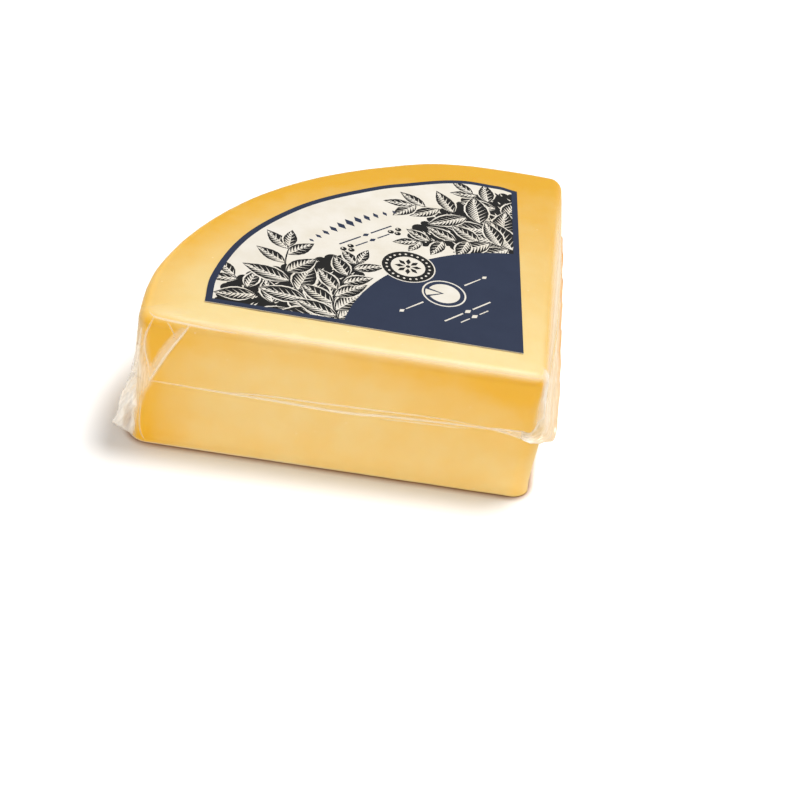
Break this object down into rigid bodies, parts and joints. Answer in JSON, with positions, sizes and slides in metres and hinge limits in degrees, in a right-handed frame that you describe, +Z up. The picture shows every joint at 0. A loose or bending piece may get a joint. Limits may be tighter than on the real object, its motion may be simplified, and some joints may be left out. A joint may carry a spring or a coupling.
{
  "type": "vacuum-packed quarter of a cheddar truckle",
  "caption": "Quarter wheel of hard cheese with rounded edges, sealed in clear shrunk film with a seam round its middle and a crumpled ear, with a flat label on top.",
  "frame": {"origin": "middle of the bounding box, on the flat base that the part rests on", "axes": "+Z up, the front cut face towards -Y, the crumpled ear at the -X end and the other cut face towards +X"},
  "size_m": [0.2136, 0.1936, 0.0703],
  "materials": {
    "cheese": "golden yellow hard cheese under tight clear film",
    "clear_film": "clear glossy shrunk film, milky where it is doubled or crumpled",
    "label_paper": "coated label paper printed in dark blue, cream and black"
  },
  "bodies": {
    "root": {"vacuum_pack": "cheese", "label": "label_paper"}
  },
  "joints": []
}
